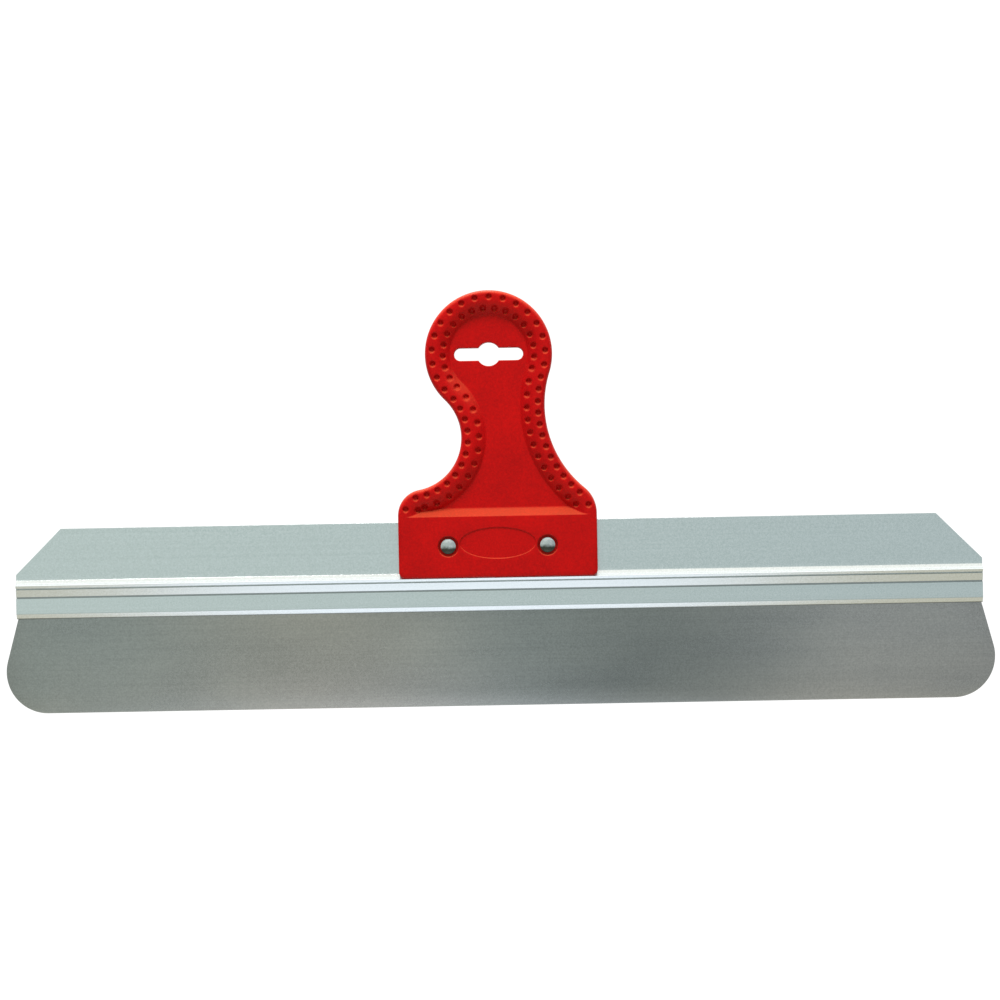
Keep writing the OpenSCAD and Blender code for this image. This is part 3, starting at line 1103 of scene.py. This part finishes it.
def make_world():
    """Studio light: bright above, a grey panel in front, and plain white as the backdrop."""
    world = bpy.data.worlds.new("studio")
    bpy.context.scene.world = world
    world.use_nodes = True
    nodes, links = world.node_tree.nodes, world.node_tree.links
    background = nodes["Background"]
    way = nodes.new("ShaderNodeTexCoord").outputs["Generated"]
    split = nodes.new("ShaderNodeSeparateXYZ")
    links.new(way, split.inputs["Vector"])

    def ranged(axis, low, high, to_low=0.0, to_high=1.0):
        made = nodes.new("ShaderNodeMapRange")
        made.interpolation_type = "SMOOTHSTEP"
        for key, number in zip(("From Min", "From Max", "To Min", "To Max"),
                               (low, high, to_low, to_high)):
            made.inputs[key].default_value = number
        links.new(split.outputs[axis], made.inputs["Value"])
        return made.outputs["Result"]

    def mix(share, first, second):
        made = nodes.new("ShaderNodeMix")
        made.data_type = "RGBA"
        links.new(share, made.inputs[MIX_SHARE])
        for index, value in ((MIX_FIRST, first), (MIX_SECOND, second)):
            if isinstance(value, tuple):
                made.inputs[index].default_value = (*value, 1)
            else:
                links.new(value, made.inputs[index])
        return made.outputs[MIX_RESULT]

    panel = mix(ranged("X", -0.25, 0.25), FRONT_LEFT, FRONT_RIGHT)
    front = mix(ranged("Y", -0.93, -0.78), panel, FRONT_DIM)
    front = mix(ranged("Z", -0.4, -0.3), LOW, front)
    around = mix(ranged("Y", -0.1, 0.3), front, BACK)
    above = mix(ranged("Z", 0.6, 0.8), BOX, TOP)
    whole = mix(ranged("Z", 0.3, 0.5), around, above)
    backdrop = mix(nodes.new("ShaderNodeLightPath").outputs["Is Camera Ray"], whole, WHITE)
    links.new(backdrop, background.inputs["Color"])
    background.inputs["Strength"].default_value = 1.0


def area_light(name, place, aim, size, power, shiny=True):
    """A rectangular lamp; one that isn't shiny has no mirror image in the metal."""
    lamp = bpy.data.lights.new(name, "AREA")
    lamp.shape = "RECTANGLE"
    lamp.size, lamp.size_y = size
    lamp.energy = power
    holder = bpy.data.objects.new(name, lamp)
    holder.location = place
    holder.visible_glossy = shiny
    holder.rotation_euler = (Vector(aim) - Vector(place)).to_track_quat("-Z", "Y").to_euler()
    bpy.context.scene.collection.objects.link(holder)


CAMERA_AIM = Vector((0.0014, 0.0, 0.10385))
CAMERA_AWAY = 1.2914
CAMERA_TURN = 0.4
CAMERA_RISE = 0.8
CAMERA_ROLL = 1.055
LENS_MM = 92.0
SENSOR_MM = 36.0


def make_camera():
    lens = bpy.data.cameras.new("camera")
    lens.lens = LENS_MM
    lens.sensor_width = SENSOR_MM
    lens.dof.use_dof = False
    camera = bpy.data.objects.new("camera", lens)
    turn, rise = math.radians(CAMERA_TURN), math.radians(CAMERA_RISE)
    back = Vector((math.sin(turn) * math.cos(rise), -math.cos(turn) * math.cos(rise),
                   math.sin(rise)))
    look = (-back).to_track_quat("-Z", "Y").to_matrix()
    roll = Matrix.Rotation(math.radians(-CAMERA_ROLL), 3, "Z")
    camera.matrix_world = (Matrix.Translation(CAMERA_AIM + back * CAMERA_AWAY)
                           @ (look @ roll).to_4x4())
    bpy.context.scene.collection.objects.link(camera)
    bpy.context.scene.camera = camera


make_floor()
make_world()
area_light("key_light", (-0.12, -0.7, 1.42), (0, 0, 0.1), (0.8, 0.5), 25, shiny=False)
area_light("top_light", (-0.15, 0.22, 1.5), (0, 0, 0.15), (0.8, 0.4), 12)
make_camera()
bpy.context.scene.view_settings.view_transform = "Standard"
